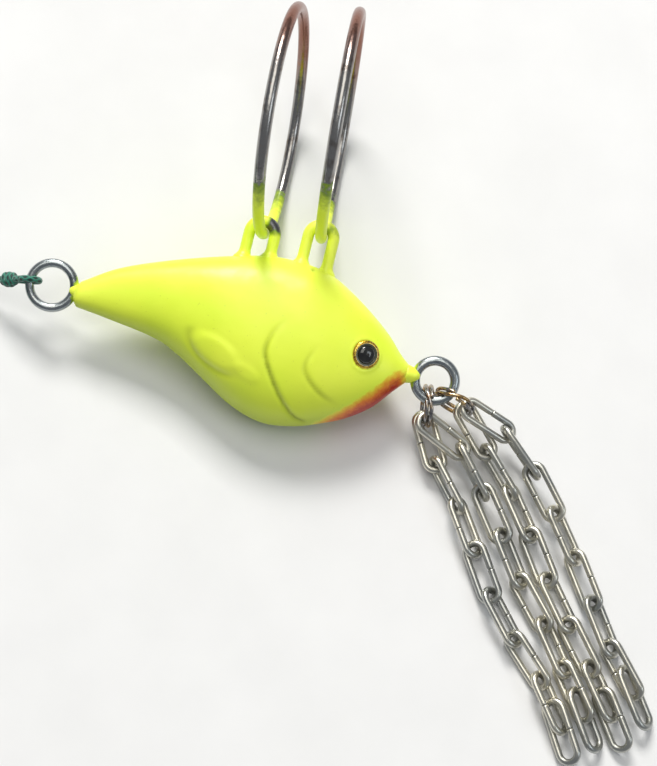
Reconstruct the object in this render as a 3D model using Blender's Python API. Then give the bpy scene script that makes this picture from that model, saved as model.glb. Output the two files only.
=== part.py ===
"""Lure retriever: a cast lead fish weight with two line rings, four grab chains and a pull cord.

The retriever lies on one flank as it does when it's put down: the body is rolled about its long
axis until a small flat on the flank and the two line rings carry it. The origin is the middle of
that flat. +X runs from tail to nose, +Z is up, and the back of the fish points along +Y, raised
by the roll.
"""

import math

import bmesh
import bpy
from mathutils import Matrix, Vector

MM = 0.001
CLEARANCE = 0.3 * MM

# Pose of the body on the surface: the origin is the middle of the flat that it rests on.
ROLL = math.radians(18)
AXIS_PLACE = Vector((-9.0, 5.2, 9.3)) * MM

# Body outline seen from the side, and half its thickness, all against length.
BACK = ((-31.6, 2.2), (-25.5, 6.2), (-17, 9.8), (-6.5, 13.3), (2, 15.4), (9, 15.6), (14, 14.7),
        (18.5, 12.5), (23.5, 9.3), (27.5, 6.2), (30.3, 3.4), (32.6, 1.5))
BELLY = ((-31.6, -2.9), (-25.5, -3.6), (-16, -5.0), (-10.7, -7.1), (-5, -10.4), (0, -13.3),
         (4.6, -15.1), (9, -15.7), (14.3, -14.8), (18.6, -13.2), (23, -11.1), (27.3, -7.9),
         (30.6, -3.9), (32.6, -1.6))
HALF_THICKNESS = ((-31.6, 2.3), (-24, 3.3), (-14, 5.3), (-4, 7.6), (6, 8.8), (14, 8.6),
                  (22, 6.9), (28, 4.4), (31.4, 2.4), (32.6, 1.5))
BODY_RINGS = 34
BODY_SIDES = 26
SECTION_FULLNESS = 0.92

# Wire eyes cast into the two ends.
TAIL_EYE_CENTRE = -37.1 * MM
TAIL_EYE_OUTER = 10.2 * MM
TAIL_EYE_WIRE = 1.7 * MM
NOSE_EYE_CENTRE = 37.9 * MM
NOSE_EYE_OUTER = 9.5 * MM
NOSE_EYE_WIRE = 1.9 * MM
SHANK_DEPTH = 12 * MM
# The shank is a hair thinner than the eye's wire, so that their surfaces don't coincide.
SHANK_SHARE = 0.98

# Wire staples in the back that hold the line rings: (name, centre along X, top above the axis).
EYELETS = (("rear", -0.7 * MM, 22.7 * MM), ("front", 10.3 * MM, 24.6 * MM))
EYELET_WIRE = 2.2 * MM
EYELET_SPREAD = 4.9 * MM
EYELET_FOOT = 7 * MM

# Line rings: the closing pass of the line runs through them.
LINE_RING_OUTER = 45 * MM
LINE_RING_WIRE = 2.2 * MM
LINE_RING_LEAN = math.radians(4)
LINE_RING_YAW = {"rear": math.radians(5), "front": math.radians(2)}

# Fish eyes on the flanks.
EYE_X = 23.9 * MM
EYE_Y = 1.5 * MM
EYE_RADIUS = 2.65 * MM
PUPIL_RADIUS = 1.7 * MM
EYE_TURN = math.radians(20)
EYE_POCKET_DEPTH = 1.2 * MM

# Straight-link chain.
LINK_WIRE = 1.42 * MM
LINK_LENGTH = 12.7 * MM
LINK_WIDTH = 4.9 * MM
LINK_GAP = 0.15 * MM
BOW_STEPS = 5
CHAIN_HEIGHT = 2.1 * MM
FALL_SHARE = 0.5

# Split rings on the nose eye: where each sits round the eye, its heading, and how far it hangs.
SPLIT_OUTER = 8.4 * MM
SPLIT_WIRE = 0.75 * MM
SPLIT_PITCH = 1.0 * MM
SPLIT_TURNS = 1.97
SPLIT_START = math.radians(100)
# The wire steps from its first turn to its second between these shares of its length.
SPLIT_STEP = (0.45, 0.55)
SPLIT_RINGS = {
    "left": (math.radians(-95), math.radians(-80), math.radians(74)),
    "right": (math.radians(-34), math.radians(-16), math.radians(48)),
}

# Chains: split ring, angle of the first link round it, then each link's heading and roll in degrees.
CHAINS = {
    "chain_1": ("left", -45, ((-62, 0), (-50, 78), (-57, -35), (-58, 25), (-50, -40),
                              (-45, 48), (-54, -40), (-60, 35))),
    "chain_2": ("left", 14, ((-21, 0), (-49, -88), (-54, 22), (-56, -42), (-49, 42),
                             (-54, -40), (-54, 44), (-58, -36))),
    "chain_3": ("right", -40, ((-47, 0), (-47, 80), (-54, -38), (-57, 32), (-53, -32),
                               (-52, 36), (-54, -38), (-57, 40))),
    "chain_4": ("right", 14, ((-14, 0), (-41, -82), (-50, 26), (-54, -42), (-57, 44),
                              (-57, -34), (-50, 48), (-57, -38))),
}
# How far each pair of links in a chain is pushed together from taut, first pair to last.
SLACKS = (0.6 * MM, 1.0 * MM, 0.6 * MM, 0.6 * MM, 0.6 * MM, 1.0 * MM, 4.2 * MM, 0)

# Pull cord.
CORD = 1.4 * MM
KNOT_LENGTH = 3.8 * MM
KNOT_RADIUS = 1.6 * MM
COIL_CENTRE = Vector((-95, -18.8, 0)) * MM
COIL_MEAN = 36 * MM
COIL_HALF = 8.2 * MM
COIL_WAIST = 0.24
COIL_WAIST_REACH = 0.42
COIL_ROUNDING = 0.6
COIL_SIDES = 12
COIL_STEPS = 36
TIE_STAND_OFF = 0.75 * MM
TIE_HALF_THICKNESS = 0.4 * MM
TIE_WIDENING = 5
TIE_ANGLE = math.radians(250)
CORD_ROUTE = ((-56.6, 4.9, 6.2), (-59.5, 5.0, 4.4), (-63, 5.2, 2.4), (-68, 5.5, 1.1),
              (-75, 6.4, 0.8), (-83, 7.2, 0.8), (-90, 7.8, 0.8), (-94.7, 8.0, 0.8))
CORD_TAIL_ROUTE = ((-95, -46, 0.8), (-88, -45.6, 0.8), (-81, -43, 0.8))


def clear_scene():
    for obj in list(bpy.data.objects):
        bpy.data.objects.remove(obj, do_unlink=True)
    for mesh in list(bpy.data.meshes):
        bpy.data.meshes.remove(mesh)


def material(name, colour, roughness, metallic):
    made = bpy.data.materials.new(name)
    made.use_nodes = True
    shader = made.node_tree.nodes["Principled BSDF"]
    shader.inputs["Base Color"].default_value = (*colour, 1)
    shader.inputs["Roughness"].default_value = roughness
    shader.inputs["Metallic"].default_value = metallic
    return made


def paint():
    return material("chartreuse_paint", (0.78, 0.92, 0.06), 0.4, 0)


def eye_wire():
    return material("eye_wire_steel", (0.27, 0.31, 0.34), 0.25, 1)


def ring_steel():
    return material("line_ring_steel", (0.17, 0.17, 0.18), 0.2, 1)


def split_ring_steel():
    return material("split_ring_steel", (0.36, 0.29, 0.20), 0.25, 1)


def chain_steel():
    return material("chain_steel", (0.46, 0.45, 0.40), 0.3, 1)


def iris_foil():
    return material("iris_foil", (0.62, 0.36, 0.02), 0.3, 0.8)


def pupil_gloss():
    return material("pupil_gloss", (0.01, 0.01, 0.012), 0.08, 0)


def cord_green():
    return material("cord_green", (0.01, 0.14, 0.11), 0.7, 0)


def tie_black():
    return material("tie_black", (0.02, 0.02, 0.02), 0.6, 0)


def add_object(name, bm, made_of, frame=None):
    """The bmesh as an object with outward faces, shaded smooth, placed by a 4x4 frame."""
    bmesh.ops.recalc_face_normals(bm, faces=bm.faces)
    mesh = bpy.data.meshes.new(name)
    bm.to_mesh(mesh)
    bm.free()
    mesh.shade_smooth()
    mesh.set_sharp_from_angle(angle=math.radians(40))
    mesh.materials.append(made_of)
    obj = bpy.data.objects.new(name, mesh)
    bpy.context.scene.collection.objects.link(obj)
    if frame is not None:
        obj.matrix_world = frame
    return obj


def as_cutter(obj):
    obj.hide_render = True
    obj.display_type = "WIRE"
    return obj


def boolean(obj, other, operation):
    modifier = obj.modifiers.new(operation.lower(), "BOOLEAN")
    modifier.operation = operation
    modifier.solver = "EXACT"
    modifier.object = as_cutter(other)


def smooth_curve(points, per_span):
    """Points on a Catmull-Rom curve through the given points."""
    points = [Vector(p) for p in points]
    ends = [2 * points[0] - points[1], *points, 2 * points[-1] - points[-2]]
    found = []
    for i in range(len(points) - 1):
        p0, p1, p2, p3 = ends[i : i + 4]
        for step in range(per_span):
            t = step / per_span
            found.append(
                0.5 * (2 * p1 + (p2 - p0) * t + (2 * p0 - 5 * p1 + 4 * p2 - p3) * t**2
                       + (3 * p1 - p0 - 3 * p2 + p3) * t**3)
            )
    return [*found, points[-1]]


def profile(points):
    """A function that reads a smooth outline, given in millimetres, at a length in metres."""
    curve = smooth_curve([(x, y, 0) for x, y in points], 12)

    def at(x):
        x = min(max(x / MM, curve[0].x), curve[-1].x)
        for a, b in zip(curve, curve[1:]):
            if a.x <= x <= b.x:
                return (a.y + (b.y - a.y) * (x - a.x) / (b.x - a.x)) * MM
        return curve[-1].y * MM

    return at


def sweep(points, radius, sides, closed=False):
    """A round tube along the points, as a bmesh, with flat ends unless it is closed."""
    count = len(points)
    tangents = []
    for i in range(count):
        before = points[i - 1] if closed or i else points[i]
        after = points[(i + 1) % count] if closed or i < count - 1 else points[i]
        tangents.append((after - before).normalized())
    side = tangents[0].orthogonal().normalized()
    bm = bmesh.new()
    loops = []
    for point, tangent in zip(points, tangents):
        side = (side - tangent * side.dot(tangent)).normalized()
        up = tangent.cross(side)
        turns = [2 * math.pi * k / sides for k in range(sides)]
        loops.append(
            [bm.verts.new(point + radius * (math.cos(a) * side + math.sin(a) * up)) for a in turns]
        )
    if closed:
        nearest = min(range(sides), key=lambda k: (loops[-1][0].co - loops[0][k].co).length)
        loops.append(loops[0][nearest:] + loops[0][:nearest])
    for first, second in zip(loops, loops[1:]):
        for k in range(sides):
            after = (k + 1) % sides
            bm.faces.new((first[k], first[after], second[after], second[k]))
    if not closed:
        bm.faces.new(loops[0])
        bm.faces.new(loops[-1])
    return bm


def arc(centre, radius, start, end, steps, across=Vector((1, 0, 0)), up=Vector((0, 1, 0))):
    """Points on an arc in the plane of across and up, from start to end in radians."""
    angles = [start + (end - start) * k / steps for k in range(steps + 1)]
    return [centre + radius * (math.cos(a) * across + math.sin(a) * up) for a in angles]


def circle(centre, radius, steps, across=Vector((1, 0, 0)), up=Vector((0, 1, 0))):
    return arc(centre, radius, 0, 2 * math.pi, steps, across, up)[:-1]


def cylinder(radius, start, end, sides=16):
    return sweep([start, end], radius, sides)


def body_frame():
    """From the fish's own frame (X length, Y back, Z flank) to the frame it rests in."""
    return Matrix.Translation(AXIS_PLACE) @ Matrix.Rotation(ROLL, 4, "X")


def axes_frame(origin, x_axis, y_axis):
    """A frame with this origin, X axis and a Y axis as near as can be to the one given."""
    x_axis = x_axis.normalized()
    z_axis = x_axis.cross(y_axis).normalized()
    y_axis = z_axis.cross(x_axis)
    turned = Matrix((x_axis, y_axis, z_axis)).transposed().to_4x4()
    return Matrix.Translation(origin) @ turned


def eyelet_path(centre, top):
    """The staple's wire in the fish's frame: foot, leg, arch, leg, foot."""
    half = EYELET_SPREAD / 2
    arch = Vector((centre, top - EYELET_WIRE / 2 - half, 0))
    root = profile(BACK)(centre) - EYELET_FOOT
    left = Vector((centre - half, root, 0))
    right = Vector((centre + half, root, 0))
    return [left, *arc(arch, half, math.pi, 0, 8), right]


def eyelet(name, centre, top, made_of):
    wire = sweep(eyelet_path(centre, top), EYELET_WIRE / 2, 10)
    return add_object(f"{name}_eyelet", wire, made_of, body_frame())


def wire_eye(name, centre, outer, wire, inward, made_of):
    """A closed wire eye with a shank that runs into the body."""
    path = circle(Vector((centre, 0, 0)), (outer - wire) / 2, 28)
    ring = sweep(path, wire / 2, 10, closed=True)
    eye = add_object(name, ring, made_of, body_frame())
    start = Vector((centre + inward * (outer / 2 - wire * 0.8), 0, 0))
    end = start + Vector((inward * SHANK_DEPTH, 0, 0))
    rod = cylinder(wire / 2 * SHANK_SHARE, start, end, 12)
    shank = add_object(f"{name}_shank", rod, made_of, body_frame())
    boolean(eye, shank, "UNION")
    return eye


def body_mesh():
    """The fish as rings of points from tail to nose."""
    back, belly, half = profile(BACK), profile(BELLY), profile(HALF_THICKNESS)
    start, end = BACK[0][0] * MM, BACK[-1][0] * MM
    bm = bmesh.new()
    loops = []
    for i in range(BODY_RINGS):
        # Stations crowd towards the nose, where the outline turns quickest.
        x = start + (end - start) * math.sin(math.pi / 2 * i / (BODY_RINGS - 1)) ** 0.9
        middle, height, wide = (back(x) + belly(x)) / 2, (back(x) - belly(x)) / 2, half(x)
        loop = []
        for k in range(BODY_SIDES):
            a = 2 * math.pi * (k + 0.5) / BODY_SIDES
            c, s = math.cos(a), math.sin(a)
            y = middle + height * math.copysign(abs(s) ** SECTION_FULLNESS, s)
            z = wide * math.copysign(abs(c) ** SECTION_FULLNESS, c)
            loop.append(bm.verts.new((x, y, z)))
        loops.append(loop)
    for first, second in zip(loops, loops[1:]):
        for k in range(BODY_SIDES):
            after = (k + 1) % BODY_SIDES
            bm.faces.new((first[k], first[after], second[after], second[k]))
    bm.faces.new(loops[0])
    bm.faces.new(loops[-1])
    return bm


def flatten_flank(bm):
    """Cuts the flank flat where it rests, on the plane of the surface below."""
    bm.transform(body_frame())
    bmesh.ops.recalc_face_normals(bm, faces=bm.faces)
    whole = bm.verts[:] + bm.edges[:] + bm.faces[:]
    cut = bmesh.ops.bisect_plane(bm, geom=whole, plane_co=(0, 0, 0), plane_no=(0, 0, -1),
                                 clear_outer=True)
    rim = [item for item in cut["geom_cut"] if isinstance(item, bmesh.types.BMEdge)]
    bmesh.ops.holes_fill(bm, edges=rim, sides=0)
    bm.transform(body_frame().inverted())


def eye_frame(side):
    """The eye's frame on one flank: +Z looks out. side is 1 or -1."""
    out = Vector((math.sin(EYE_TURN), 0, side * math.cos(EYE_TURN)))
    surface = Vector((EYE_X, EYE_Y, side * profile(HALF_THICKNESS)(EYE_X)))
    return Matrix.Translation(surface) @ out.to_track_quat("Z", "Y").to_matrix().to_4x4()


def cast_body(made_of):
    """The lead casting, with room for the eyes, the wire eyes' shanks and the staples' feet."""
    bm = body_mesh()
    flatten_flank(bm)
    body = add_object("cast_body", bm, made_of, body_frame())
    for inward, centre, outer, wire in (
        (1, TAIL_EYE_CENTRE, TAIL_EYE_OUTER, TAIL_EYE_WIRE),
        (-1, NOSE_EYE_CENTRE, NOSE_EYE_OUTER, NOSE_EYE_WIRE),
    ):
        start = Vector((centre + inward * outer / 2 - inward * wire, 0, 0))
        end = start + Vector((inward * (SHANK_DEPTH + wire), 0, 0))
        hole = cylinder(wire / 2 + CLEARANCE, start, end)
        boolean(body, add_object("shank_hole", hole, made_of, body_frame()), "DIFFERENCE")
    for name, centre, top in EYELETS:
        for path_end in (0, -1):
            foot = eyelet_path(centre, top)[path_end] - Vector((0, CLEARANCE, 0))
            above = Vector((foot.x, top, 0))
            hole = cylinder(EYELET_WIRE / 2 + CLEARANCE, foot, above)
            cutter = add_object(f"{name}_foot_hole", hole, made_of, body_frame())
            boolean(body, cutter, "DIFFERENCE")
    for side in (1, -1):
        pocket = cylinder(EYE_RADIUS + CLEARANCE, Vector((0, 0, -EYE_POCKET_DEPTH)),
                          Vector((0, 0, 3 * MM)), 24)
        hole = add_object("eye_pocket", pocket, made_of, body_frame() @ eye_frame(side))
        boolean(body, hole, "DIFFERENCE")
    return body


def turned(outline, steps):
    """A bmesh turned about Z from (radius, height) pairs that start and end off the axis."""
    bm = bmesh.new()
    loops = []
    for k in range(steps):
        a = 2 * math.pi * k / steps
        loops.append([bm.verts.new((r * math.cos(a), r * math.sin(a), z)) for r, z in outline])
    for first, second in zip(loops, loops[1:] + loops[:1]):
        for k in range(len(outline)):
            after = (k + 1) % len(outline)
            bm.faces.new((first[k], first[after], second[after], second[k]))
    return bm


def iris(side, made_of):
    """The foil ring round the pupil, a washer with a crowned face."""
    inner, outer = PUPIL_RADIUS + CLEARANCE, EYE_RADIUS
    floor = -EYE_POCKET_DEPTH + CLEARANCE
    outline = ((inner, floor), (outer, floor), (outer, 0.05 * MM),
               ((inner + outer) / 2, 0.35 * MM), (inner, 0.4 * MM))
    name = "iris_right" if side > 0 else "iris_left"
    return add_object(name, turned(outline, 24), made_of, body_frame() @ eye_frame(side))


def pupil(side, made_of):
    """The domed pupil in the middle of the iris."""
    bm = bmesh.new()
    dome = [(-EYE_POCKET_DEPTH + CLEARANCE, PUPIL_RADIUS)]
    for step in range(5):
        a = math.pi / 2 * step / 5
        dome.append((0.35 * MM + 0.55 * MM * math.sin(a), PUPIL_RADIUS * math.cos(a)))
    loops = []
    for z, r in dome:
        loops.append([bm.verts.new(p) for p in circle(Vector((0, 0, z)), r, 20)])
    for first, second in zip(loops, loops[1:]):
        for k in range(20):
            after = (k + 1) % 20
            bm.faces.new((first[k], first[after], second[after], second[k]))
    bm.faces.new(loops[0])
    bm.faces.new(loops[-1])
    name = "pupil_right" if side > 0 else "pupil_left"
    return add_object(name, bm, made_of, body_frame() @ eye_frame(side))


def line_ring(name, centre, top, made_of):
    """A line ring, its origin on the axis of the staple's arch, swung down to the surface."""
    mean = (LINE_RING_OUTER - LINE_RING_WIRE) / 2
    arch = body_frame() @ Vector((centre, top - EYELET_WIRE / 2, 0))
    drop = (EYELET_WIRE + LINE_RING_WIRE) / 2 + LINK_GAP
    seat = body_frame() @ Vector((centre, top - EYELET_WIRE / 2 - drop, 0))
    swing = math.asin((LINE_RING_OUTER / 2 - seat.z) / mean)
    out = Vector((-math.sin(LINE_RING_LEAN), math.cos(swing), math.sin(swing))).normalized()
    yaw = LINE_RING_YAW[name]
    across = Vector((-math.sin(yaw), 0, math.cos(yaw)))
    frame = axes_frame(arch, out, across)
    points = circle(frame.inverted() @ seat + Vector((mean, 0, 0)), mean, 40)
    wire = sweep(points, LINE_RING_WIRE / 2, 8, closed=True)
    return add_object(f"{name}_line_ring", wire, made_of, frame)


def split_ring_frame(name):
    """A split ring's frame: origin at its middle, X towards its chains, Z along its own axis."""
    seat_angle, heading, fall = SPLIT_RINGS[name]
    eye_mean = (NOSE_EYE_OUTER - NOSE_EYE_WIRE) / 2
    spot = Vector((NOSE_EYE_CENTRE, 0, 0))
    spot += eye_mean * Vector((math.cos(seat_angle), math.sin(seat_angle), 0))
    seat = body_frame() @ spot
    level = Vector((math.cos(heading), math.sin(heading), 0))
    reach = (SPLIT_OUTER - NOSE_EYE_WIRE) / 2 - SPLIT_WIRE - CLEARANCE
    middle = seat + reach * (level * math.cos(fall) - Vector((0, 0, math.sin(fall))))
    return axes_frame(middle, level, Vector((0, 0, 1)))


def split_ring(name, made_of):
    """Two turns of thin wire side by side, joined by the step between them."""
    mean = (SPLIT_OUTER - SPLIT_WIRE) / 2
    steps = 44
    step_start, step_end = SPLIT_STEP
    points = []
    for k in range(steps + 1):
        share = k / steps
        stepped = min(max((share - step_start) / (step_end - step_start), 0), 1)
        across = SPLIT_PITCH * (stepped - 0.5)
        a = SPLIT_START + 2 * math.pi * SPLIT_TURNS * share
        points.append(Vector((mean * math.cos(a), mean * math.sin(a), across)))
    ring = add_object(f"split_ring_{name}", sweep(points, SPLIT_WIRE / 2, 6), made_of)
    # It slides round the nose eye, so it hangs on a point at the eye's middle.
    pivot = bpy.data.objects.new(f"split_ring_{name}_pivot", None)
    bpy.context.scene.collection.objects.link(pivot)
    pivot.matrix_world = body_frame() @ Matrix.Translation((NOSE_EYE_CENTRE, 0, 0))
    ring.parent = pivot
    ring.matrix_parent_inverse = pivot.matrix_world.inverted()
    ring.matrix_world = split_ring_frame(name)
    return ring


def link_mesh():
    """One straight-sided link about its middle: length along X, width along Y."""
    half_width = (LINK_WIDTH - LINK_WIRE) / 2
    bow_centre = (LINK_LENGTH - LINK_WIRE) / 2 - half_width
    right, left = Vector((bow_centre, 0, 0)), Vector((-bow_centre, 0, 0))
    quarter = math.pi / 2
    path = arc(right, half_width, -quarter, quarter, BOW_STEPS)
    path += arc(left, half_width, quarter, 3 * quarter, BOW_STEPS)
    return sweep(path, LINK_WIRE / 2, 6, closed=True)


def link_direction(height, heading):
    """The way a link points: the chain falls to the surface, then lies along it."""
    pitch = LINK_LENGTH - 2 * LINK_WIRE - LINK_GAP
    slope = math.asin((height - CHAIN_HEIGHT) * FALL_SHARE / pitch)
    level = Matrix.Rotation(math.radians(heading), 3, "Z") @ Vector((1, 0, 0))
    return level * math.cos(slope) - Vector((0, 0, math.sin(slope)))


def link_frame(origin, direction, roll):
    level = direction.cross(Vector((0, 0, 1))).normalized()
    width = Matrix.Rotation(math.radians(roll), 3, direction) @ level
    return axes_frame(origin, direction, width)


def chain(name, made_of):
    """The chain's links from the split ring outwards, each with its origin on its joint."""
    ring, seat_angle, lay = CHAINS[name]
    frame = split_ring_frame(ring)
    turn = Matrix.Rotation(math.radians(seat_angle), 3, "Z")
    joint = frame @ (turn @ Vector(((SPLIT_OUTER - SPLIT_WIRE) / 2, 0, 0)))
    ring_wire = frame.to_3x3() @ turn @ Vector((0, 1, 0))
    half = (LINK_LENGTH - LINK_WIRE) / 2
    # The first bow closes round both turns of the ring's wire, which cross it at a slant.
    slant = link_direction(joint.z, lay[0][0]).cross(ring_wire).length
    near = half - ((LINK_WIRE + SPLIT_WIRE) / 2 + CLEARANCE + LINK_GAP) / slant
    for i, (heading, roll) in enumerate(lay):
        direction = link_direction(joint.z, heading)
        link = add_object(f"{name}_link_{i + 1}", link_mesh(), made_of)
        link.data.transform(Matrix.Translation((near, 0, 0)))
        link.matrix_world = link_frame(joint, direction, roll)
        far = half - (LINK_WIRE + LINK_GAP + SLACKS[i]) / 2
        joint = joint + (near + far) * direction
        near = far


def cord_loop(made_of):
    """The loop of cord round the wire of the tail eye."""
    wire_x = TAIL_EYE_CENTRE - (TAIL_EYE_OUTER - TAIL_EYE_WIRE) / 2
    radius = TAIL_EYE_WIRE / 2 + CORD / 2 + CLEARANCE
    points = circle(Vector((wire_x, 0, 0)), radius, 18, up=Vector((0, 0, 1)))
    return add_object("cord_loop", sweep(points, CORD / 2, 8, closed=True), made_of, body_frame())


def knot(name, start, end, made_of):
    """A barrel knot: a wrapped cylinder with rounded ends."""
    along = (end - start).normalized()
    shape = ((0, 0.62), (0.12, 0.9), (0.3, 1), (0.7, 1), (0.88, 0.9), (1, 0.62))
    bm = bmesh.new()
    loops = []
    across = along.orthogonal().normalized()
    up = along.cross(across)
    for share, wide in shape:
        middle = start.lerp(end, share)
        loops.append([bm.verts.new(p) for p in circle(middle, KNOT_RADIUS * wide, 10, across, up)])
    for first, second in zip(loops, loops[1:]):
        for k in range(10):
            after = (k + 1) % 10
            bm.faces.new((first[k], first[after], second[after], second[k]))
    bm.faces.new(loops[0])
    bm.faces.new(loops[-1])
    return add_object(name, bm, made_of)


def cord_tube(name, points, made_of):
    curve = bpy.data.curves.new(name, "CURVE")
    curve.dimensions = "3D"
    curve.bevel_depth = CORD / 2
    curve.bevel_resolution = 2
    curve.use_fill_caps = True
    spline = curve.splines.new("POLY")
    spline.points.add(len(points) - 1)
    for point, place in zip(spline.points, points):
        point.co = (*place, 1)
    curve.materials.append(made_of)
    obj = bpy.data.objects.new(name, curve)
    bpy.context.scene.collection.objects.link(obj)
    return obj


def waist(angle):
    """How much of its full section the coil keeps at this angle: the tie draws it in."""
    away = math.remainder(angle - TIE_ANGLE, 2 * math.pi)
    return 1 - COIL_WAIST * math.exp(-((away / COIL_WAIST_REACH) ** 2))


def rounded_square(angle):
    """A point of the coil's section at this angle round it, reaching 1 to each side."""
    c, s = math.cos(angle), math.sin(angle)
    across = math.copysign(abs(c) ** COIL_ROUNDING, c)
    up = math.copysign(abs(s) ** COIL_ROUNDING, s)
    return across, up


def coil(made_of):
    """The wound length of the cord: a ring of rounded section, drawn in by its tie."""
    corners = [rounded_square(2 * math.pi * (k + 0.5) / COIL_SIDES) for k in range(COIL_SIDES)]
    bm = bmesh.new()
    loops = []
    for k in range(COIL_STEPS):
        a = TIE_ANGLE + 2 * math.pi * k / COIL_STEPS
        size = COIL_HALF * waist(a)
        loop = []
        for across, up in corners:
            r = COIL_MEAN / 2 + across * size
            loop.append(bm.verts.new((r * math.cos(a), r * math.sin(a), COIL_HALF + up * size)))
        loops.append(loop)
    for first, second in zip(loops, loops[1:] + loops[:1]):
        for k in range(COIL_SIDES):
            after = (k + 1) % COIL_SIDES
            bm.faces.new((first[k], first[after], second[after], second[k]))
    return add_object("cord_coil", bm, made_of, Matrix.Translation(COIL_CENTRE))


def coil_tie(made_of):
    """A flat strap round the coil's section."""
    out = Vector((math.cos(TIE_ANGLE), math.sin(TIE_ANGLE), 0))
    middle = out * COIL_MEAN / 2 + Vector((0, 0, COIL_HALF))
    size = COIL_HALF * waist(TIE_ANGLE) + TIE_STAND_OFF
    path = []
    for k in range(20):
        across, up = rounded_square(2 * math.pi * (k + 0.5) / 20)
        path.append(middle + size * (across * out + Vector((0, 0, up))))
    bm = sweep(path, TIE_HALF_THICKNESS, 4, closed=True)
    # The wire-like band is widened along the cord into a flat strap.
    along = Vector((-out.y, out.x, 0))
    for vert in bm.verts:
        vert.co += along * along.dot(vert.co - middle) * TIE_WIDENING
    return add_object("coil_tie", bm, made_of, Matrix.Translation(COIL_CENTRE))


def pull_cord():
    green = cord_green()
    cord_loop(green)
    route = [Vector(p) * MM for p in CORD_ROUTE]
    wire_x = TAIL_EYE_CENTRE - (TAIL_EYE_OUTER - TAIL_EYE_WIRE) / 2
    loop_left = body_frame() @ Vector((wire_x, 0, 0))
    toward = (route[0] - loop_left).normalized()
    start = route[0] - toward * (KNOT_LENGTH + CLEARANCE)
    knot("cord_knot", start, route[0] - toward * CLEARANCE, green)
    cord_tube("cord_lead", smooth_curve(route, 4), green)
    coil(green)
    coil_tie(tie_black())
    tail = [Vector(p) * MM for p in CORD_TAIL_ROUTE]
    cord_tube("cord_tail", smooth_curve(tail, 4), green)
    ahead = (tail[-1] - tail[-2]).normalized()
    lift = Vector((0, 0, KNOT_RADIUS - CORD / 2))
    begin = tail[-1] + ahead * CLEARANCE + lift
    knot("end_knot", begin, begin + ahead * KNOT_LENGTH, green)


def main():
    clear_scene()
    coat = paint()
    wire = eye_wire()
    cast_body(coat)
    wire_eye("tail_eye", TAIL_EYE_CENTRE, TAIL_EYE_OUTER, TAIL_EYE_WIRE, 1, wire)
    wire_eye("nose_eye", NOSE_EYE_CENTRE, NOSE_EYE_OUTER, NOSE_EYE_WIRE, -1, wire)
    foil, gloss = iris_foil(), pupil_gloss()
    for side in (1, -1):
        iris(side, foil)
        pupil(side, gloss)
    steel = ring_steel()
    for name, centre, top in EYELETS:
        eyelet(name, centre, top, coat)
        line_ring(name, centre, top, steel)
    thin = split_ring_steel()
    for name in SPLIT_RINGS:
        split_ring(name, thin)
    links = chain_steel()
    for name in CHAINS:
        chain(name, links)
    pull_cord()


main()
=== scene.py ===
"""Looks of the lure retriever: painted lead fish, wire rings, steel chains and a braided pull cord.

Every piece is built in the row frame, in metres, so each one's object coordinates are its place
at rest. Outlines of the fish are in millimetres in the fish's own frame: X length, Y back, Z flank.
"""

import math
import random

import bpy
import numpy as np
from mathutils import Matrix, Vector


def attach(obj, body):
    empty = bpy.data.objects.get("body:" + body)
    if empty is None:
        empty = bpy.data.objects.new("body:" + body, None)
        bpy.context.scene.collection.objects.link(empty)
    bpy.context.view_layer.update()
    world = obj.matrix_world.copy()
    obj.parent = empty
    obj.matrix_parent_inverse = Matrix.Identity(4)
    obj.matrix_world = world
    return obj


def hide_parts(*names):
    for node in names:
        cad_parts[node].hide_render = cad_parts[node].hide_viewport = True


MM = 0.001

# The fish's place, and its outlines, as in the CAD model.
ROLL = math.radians(18)
AXIS_PLACE = Vector((-9.0, 5.2, 9.3)) * MM
BACK = ((-31.6, 2.2), (-25.5, 6.2), (-17, 9.8), (-6.5, 13.3), (2, 15.4), (9, 15.6), (14, 14.7),
        (18.5, 12.5), (23.5, 9.3), (27.5, 6.2), (30.3, 3.4), (32.6, 1.5))
BELLY = ((-31.6, -2.9), (-25.5, -3.6), (-16, -5.0), (-10.7, -7.1), (-5, -10.4), (0, -13.3),
         (4.6, -15.1), (9, -15.7), (14.3, -14.8), (18.6, -13.2), (23, -11.1), (27.3, -7.9),
         (30.6, -3.9), (32.6, -1.6))
HALF_THICKNESS = ((-31.6, 2.3), (-24, 3.3), (-14, 5.3), (-4, 7.6), (6, 8.8), (14, 8.6),
                  (22, 6.9), (28, 4.4), (31.4, 2.4), (32.6, 1.5))
SECTION_FULLNESS = 0.92
BODY_STATIONS = 260
BODY_SIDES = 168
# The paint rounds over at both ends: shares of the end section, and how far out each one stands.
TAIL_CAP = ((0.93, 0.22), (0.82, 0.45), (0.70, 0.65), (0.60, 0.90))
NOSE_CAP = ((0.99, 0.40), (0.96, 0.75), (0.88, 1.05), (0.70, 1.30))

# Relief cast into both flanks.
GILL = ((9.6, 5.8), (6.9, 2.4), (5.7, -1.2), (6.2, -4.2), (9.7, -9.4), (13.5, -13), (16.8, -13.5))
CHEEK = ((15.4, 2.4), (13.6, -2.4), (14.1, -5), (17.3, -7.6), (22.2, -9.3))
MOUTH = ((32.2, -0.6), (30.6, -2.6), (28.6, -5.2))
FIN_ENDS = ((-9.0, -2.4), (2.4, -7.2))
FIN_HALF_WIDTH = 2.9
GROOVE_WIDTH = 0.45
THROAT_START = 15.5
# A blow hole in the back, between the front staple's legs.
PIT = (10.4, 14.8)

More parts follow.
